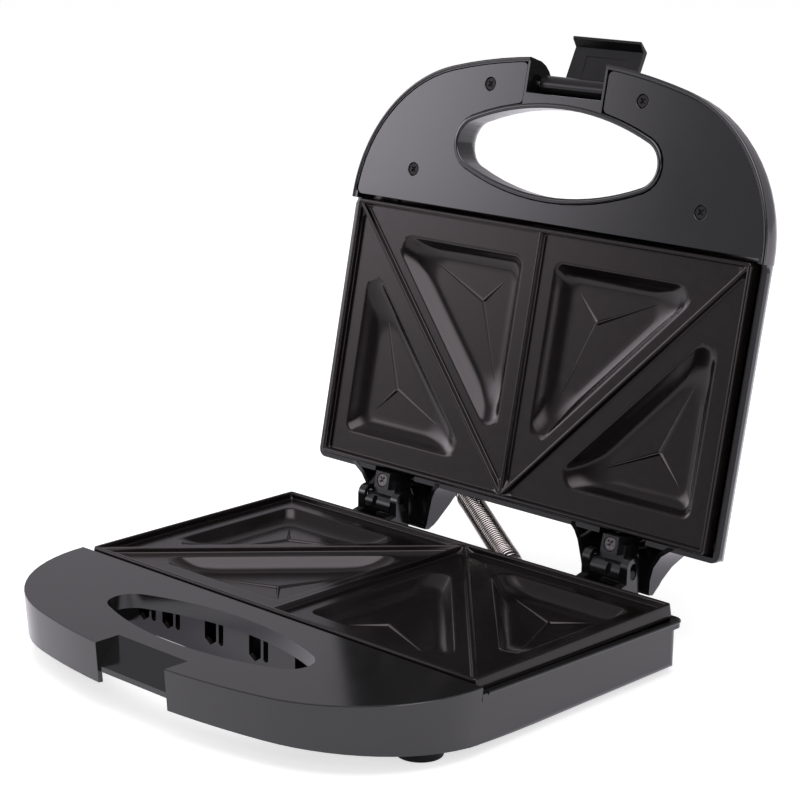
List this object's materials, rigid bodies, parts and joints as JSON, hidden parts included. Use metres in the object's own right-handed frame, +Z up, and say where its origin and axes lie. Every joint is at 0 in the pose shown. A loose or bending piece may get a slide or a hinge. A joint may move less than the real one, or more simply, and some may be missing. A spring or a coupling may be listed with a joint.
{
  "type": "sandwich toaster",
  "caption": "Clamshell sandwich toaster with triangular-pocket heating plates, arched hand grips with finger openings, rear hinges, wire guard spring and a front latch.",
  "frame": {"origin": "centre of the footprint of the toaster standing with its lid open, on the worktop plane", "axes": "+Z up, +Y towards the hinges at the back, +X to the right of a user facing the handle"},
  "size_m": [0.227, 0.279, 0.2381],
  "materials": {
    "housing": "gloss",
    "panel": "gloss",
    "plate": "non-stick coated satin",
    "element": "satin",
    "sheet": "mill",
    "screw_steel": "satin",
    "screw_dark": "satin",
    "hinge_steel": "bright",
    "hinge_block": "satin",
    "foot_rubber": "matt",
    "control_body": "matt",
    "fuse": "bright",
    "terminal": "matt",
    "lens_red": "gloss",
    "lens_green": "gloss",
    "lamp": "clear",
    "latch": "gloss",
    "spring_steel": "bright"
  },
  "bodies": {
    "base": {"base_housing": "housing", "lower_plate": "plate", "lower_element": "element", "lower_reflector": "sheet", "lower_plate_screws": "screw_steel", "thermostat": "control_body", "thermal_fuse": "fuse", "terminal_block": "terminal", "feet": "foot_rubber", "wire_guard": "spring_steel"},
    "lid": {"lid_housing": "housing", "lid_handle_panel": "panel", "upper_plate": "plate", "upper_element": "element", "upper_reflector": "sheet", "upper_plate_screws": "screw_steel", "panel_screws": "screw_dark", "hinge_block_left": "hinge_block", "hinge_block_right": "hinge_block", "hinge_screws": "hinge_steel", "hinge_pins": "hinge_steel", "power_lens": "lens_red", "ready_lens": "lens_green", "power_lamp": "lamp", "ready_lamp": "lamp", "latch_pin": "hinge_steel"},
    "latch": {"latch": "latch"}
  },
  "joints": [
    {"name": "lid_hinge", "type": "hinge", "parent": "base", "child": "lid", "pos_m": [0, 0.06735, 0.0286], "axis": [1, 0, 0], "range_deg": [0, 101.4], "deforming": ["wire_guard"]},
    {"name": "latch_hinge", "type": "hinge", "parent": "lid", "child": "latch", "pos_m": [0, 0.1166, 0.21821], "axis": [1, 0, 0], "range_deg": [0, 105]}
  ]
}
